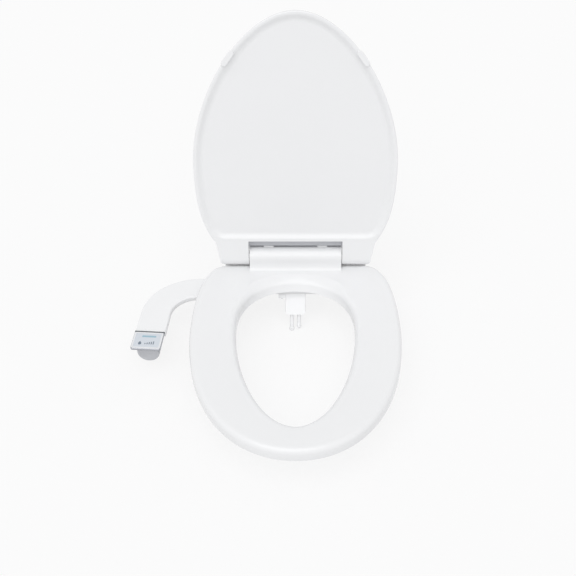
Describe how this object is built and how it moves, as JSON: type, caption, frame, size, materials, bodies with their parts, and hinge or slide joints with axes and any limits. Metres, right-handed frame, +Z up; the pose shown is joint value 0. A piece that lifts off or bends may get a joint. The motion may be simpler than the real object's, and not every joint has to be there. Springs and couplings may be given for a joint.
{
  "type": "bidet seat",
  "caption": "Soft-close toilet seat and lid on a slim water-pressure bidet plate, with a curved side arm, turning control knob and twin sliding wash wands.",
  "frame": {"origin": "midway between the two mounting bolts, on the bowl's rim plane", "axes": "+X to the right of a person facing the seat from the front, +Y to the back, +Z up"},
  "size_m": [0.471, 0.5357, 0.563],
  "materials": {
    "seat_white": "smooth gloss",
    "body_white": "smooth gloss",
    "inner_white": "moulded satin",
    "white_rubber": "matt",
    "dark_rubber": "matt",
    "steel": "machined",
    "brass": "machined",
    "silver": "satin plate",
    "hood_rim": "satin plate",
    "knob_grey": "satin",
    "label": "printed film",
    "tube": "flexible tube",
    "ceramic": "lapped",
    "damper": "moulded"
  },
  "bodies": {
    "base": {"hinge_posts": "inner_white", "hinge_wings": "inner_white", "hinge_pin": "steel", "seat_damper": "damper", "lid_damper": "damper", "mounting_bolts": "steel", "top_nuts": "steel", "expansion_sleeves": "dark_rubber", "cone_nuts": "brass", "mounting_discs": "inner_white", "bidet_body": "body_white", "bidet_bottom_cover": "inner_white", "cover_screws": "steel", "grip_pads": "white_rubber", "head_gasket": "dark_rubber", "control_hood": "hood_rim", "label_bezel": "silver", "label_plate": "label", "valve_housing": "inner_white", "valve_bonnet": "brass", "stem_seal": "dark_rubber", "fixed_valve_disc": "ceramic", "inlet_nipple": "brass", "inlet_filter": "steel", "rear_wash_tube": "tube", "front_wash_tube": "tube", "nozzle_manifold": "inner_white", "nozzle_housing": "body_white", "nozzle_end_cap": "body_white", "housing_screw": "steel", "rear_nozzle_spring": "steel", "front_nozzle_spring": "steel"},
    "seat": {"seat_shell": "seat_white", "seat_hinge_cover": "seat_white", "seat_base": "inner_white", "seat_bumpers": "white_rubber", "seat_damper_shaft": "steel"},
    "lid": {"lid_shell": "seat_white", "lid_hinge_shield": "knob_grey", "lid_bumpers": "white_rubber", "lid_damper_shaft": "steel"},
    "control": {"knob": "knob_grey", "valve_stem": "brass", "turning_valve_disc": "ceramic"},
    "rear_wand": {"rear_nozzle": "body_white", "rear_nozzle_seal": "dark_rubber"},
    "front_wand": {"front_nozzle": "body_white", "front_nozzle_seal": "dark_rubber"}
  },
  "joints": [
    {"name": "seat_hinge", "type": "hinge", "parent": "base", "child": "seat", "pos_m": [0, 0, 0.054], "axis": [-1, 0, 0], "range_deg": [0, 98]},
    {"name": "lid_hinge", "type": "hinge", "parent": "base", "child": "lid", "pos_m": [0, 0, 0.054], "axis": [-1, 0, 0], "range_deg": [-100.2, 0]},
    {"name": "knob_turn", "type": "hinge", "parent": "base", "child": "control", "pos_m": [-0.25758, -0.16364, -0.0122], "axis": [-0.0698, -0.9976, 0], "range_deg": [-90, 90]},
    {"name": "rear_wand_slide", "type": "slide", "parent": "base", "child": "rear_wand", "axis": [0, -0.6428, -0.766], "range_m": [-0.019, 0], "deforming": ["rear_nozzle_spring"]},
    {"name": "front_wand_slide", "type": "slide", "parent": "base", "child": "front_wand", "axis": [0, -0.6428, -0.766], "range_m": [-0.0145, 0], "deforming": ["front_nozzle_spring"]}
  ]
}
